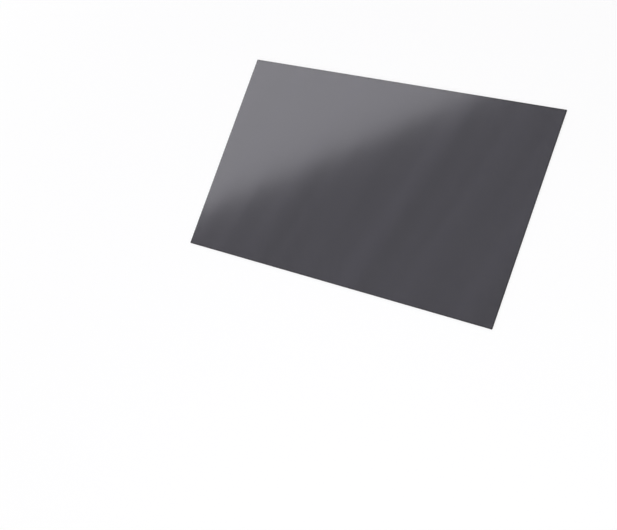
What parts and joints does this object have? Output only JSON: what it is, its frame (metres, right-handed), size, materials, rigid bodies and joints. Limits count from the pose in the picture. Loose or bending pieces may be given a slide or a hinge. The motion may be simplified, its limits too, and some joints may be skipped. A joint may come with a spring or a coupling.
{
  "type": "laptop privacy filter",
  "caption": "Thin flat rectangular sheet of dark see-through film that lies over a laptop screen and narrows the angle it can be read from.",
  "frame": {"origin": "middle of the back face, which the sheet lies on", "axes": "+X along the long side, +Y along the short side towards the top of the screen, +Z out of the front face"},
  "size_m": [0.344, 0.194, 0.0005],
  "materials": {
    "tinted_film": "satin"
  },
  "bodies": {
    "root": {"filter_sheet": "tinted_film"}
  },
  "joints": []
}
